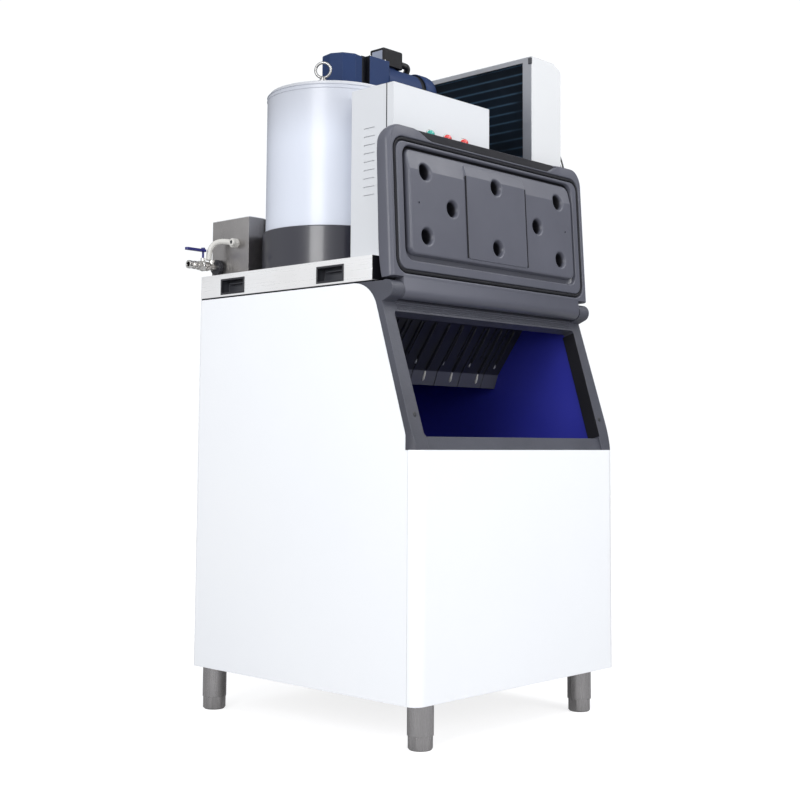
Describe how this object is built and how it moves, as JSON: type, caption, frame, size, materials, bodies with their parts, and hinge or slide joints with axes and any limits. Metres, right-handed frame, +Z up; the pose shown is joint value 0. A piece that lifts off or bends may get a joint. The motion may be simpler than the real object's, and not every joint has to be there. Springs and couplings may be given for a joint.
{
  "type": "flake ice machine",
  "caption": "Flake ice machine: tall insulated bin on legs with a tilted hinged door, and on it a tray with ice drum, gear motor, control box, condenser and water tank.",
  "frame": {"origin": "on the floor, under the middle of the whole machine's outline, with the water valve's lever and the fan guard counted", "axes": "+Z up, the bin's door faces -Y, +X to the right seen from the front"},
  "size_m": [0.855, 0.772, 1.7326],
  "materials": {
    "white_panel": "smooth semi-gloss coat",
    "liner_blue": "moulded, slightly glossy",
    "foam": "cut foam",
    "charcoal_plastic": "fine moulded grain",
    "black_rubber": "soft",
    "steel_pin": "bright",
    "baffle_plastic": "moulded",
    "leg_steel": "brushed",
    "tray_steel": "brushed",
    "drum_white": "satin coat",
    "base_black": "satin",
    "inner_steel": "smooth",
    "gear_blue": "machine enamel",
    "box_black": "satin",
    "control_white": "fine texture coat",
    "lamp_plastic": "clear coloured domes",
    "can_black": "enamel",
    "coil_black": "thin fins",
    "frame_zinc": "zinc coat",
    "guard_black": "dipped wire",
    "fan_grey": "moulded",
    "copper": "drawn tube",
    "tank_steel": "dull brushed",
    "valve_nickel": "nickel plated",
    "lever_blue": "dipped",
    "hose_grey": "smooth",
    "float_plastic": "moulded"
  },
  "bodies": {
    "cabinet": {"floor_pan": "tray_steel", "front_panel": "white_panel", "side_panel_left": "white_panel", "side_panel_right": "white_panel", "back_panel": "white_panel", "top_deck": "tray_steel", "bin_insulation": "foam", "bin_liner": "liner_blue", "door_frame": "charcoal_plastic", "hinge_pins": "steel_pin", "ice_baffle": "baffle_plastic", "leg_front_left": "leg_steel", "leg_front_right": "leg_steel", "leg_rear_left": "leg_steel", "leg_rear_right": "leg_steel", "tray_gasket": "black_rubber", "base_tray": "tray_steel", "drum_base": "base_black", "drum_shell": "drum_white", "drum_insulation": "foam", "evaporator_cylinder": "inner_steel", "drum_lid": "tray_steel", "lifting_eyes": "leg_steel", "bearing_spider": "inner_steel", "gearbox_housing": "gear_blue", "motor_body": "gear_blue", "fan_cowl": "gear_blue", "terminal_box": "box_black", "motor_conduit": "box_black", "control_box_body": "control_white", "control_box_cover": "control_white", "pilot_lamps": "lamp_plastic", "compressor": "can_black", "receiver": "can_black", "condenser_coil": "coil_black", "coil_frame": "frame_zinc", "condenser_shroud": "white_panel", "fan_motor": "can_black", "fan_guard": "guard_black", "refrigerant_pipes": "copper", "water_tank": "tank_steel", "tank_lid": "tank_steel", "tank_bulkhead": "box_black", "valve_body": "valve_nickel", "inlet_hose": "hose_grey", "float_seat": "float_plastic", "water_pump": "box_black", "supply_pipe": "hose_grey"},
    "bin_door": {"door": "charcoal_plastic", "door_gasket": "black_rubber"},
    "scraper": {"spindle": "inner_steel", "ice_cutter": "inner_steel", "water_distributor": "inner_steel"},
    "fan": {"condenser_fan": "fan_grey"},
    "lever": {"valve_lever": "lever_blue"},
    "float": {"float_arm": "float_plastic"},
    "foot_fl": {"foot_front_left": "leg_steel"},
    "foot_fr": {"foot_front_right": "leg_steel"},
    "foot_rl": {"foot_rear_left": "leg_steel"},
    "foot_rr": {"foot_rear_right": "leg_steel"}
  },
  "joints": [
    {"name": "door_hinge", "type": "hinge", "parent": "cabinet", "child": "bin_door", "pos_m": [0.0315, -0.288, 1.024], "axis": [1, 0, 0], "range_deg": [0, 165]},
    {"name": "scraper_drive", "type": "hinge", "parent": "cabinet", "child": "scraper", "pos_m": [-0.1665, 0.082, 1.113], "axis": [0, 0, 1], "continuous": true},
    {"name": "fan_spin", "type": "hinge", "parent": "cabinet", "child": "fan", "pos_m": [0.3335, -0.018, 1.384], "axis": [1, 0, 0], "continuous": true},
    {"name": "valve_turn", "type": "hinge", "parent": "cabinet", "child": "lever", "pos_m": [-0.3715, 0.35, 1.129], "axis": [0, 0, 1], "range_deg": [-90, 0]},
    {"name": "float_swing", "type": "hinge", "parent": "cabinet", "child": "float", "pos_m": [-0.298, 0.28, 1.171], "axis": [1, 0, 0], "range_deg": [0, 25]},
    {"name": "foot_turn_fl", "type": "hinge", "parent": "cabinet", "child": "foot_fl", "pos_m": [-0.2685, -0.327, 0], "axis": [0, 0, 1], "continuous": true},
    {"name": "foot_turn_fr", "type": "hinge", "parent": "cabinet", "child": "foot_fr", "pos_m": [0.3315, -0.327, 0], "axis": [0, 0, 1], "continuous": true},
    {"name": "foot_turn_rl", "type": "hinge", "parent": "cabinet", "child": "foot_rl", "pos_m": [-0.3065, 0.3505, 0], "axis": [0, 0, 1], "continuous": true},
    {"name": "foot_turn_rr", "type": "hinge", "parent": "cabinet", "child": "foot_rr", "pos_m": [0.3695, 0.3505, 0], "axis": [0, 0, 1], "continuous": true}
  ]
}
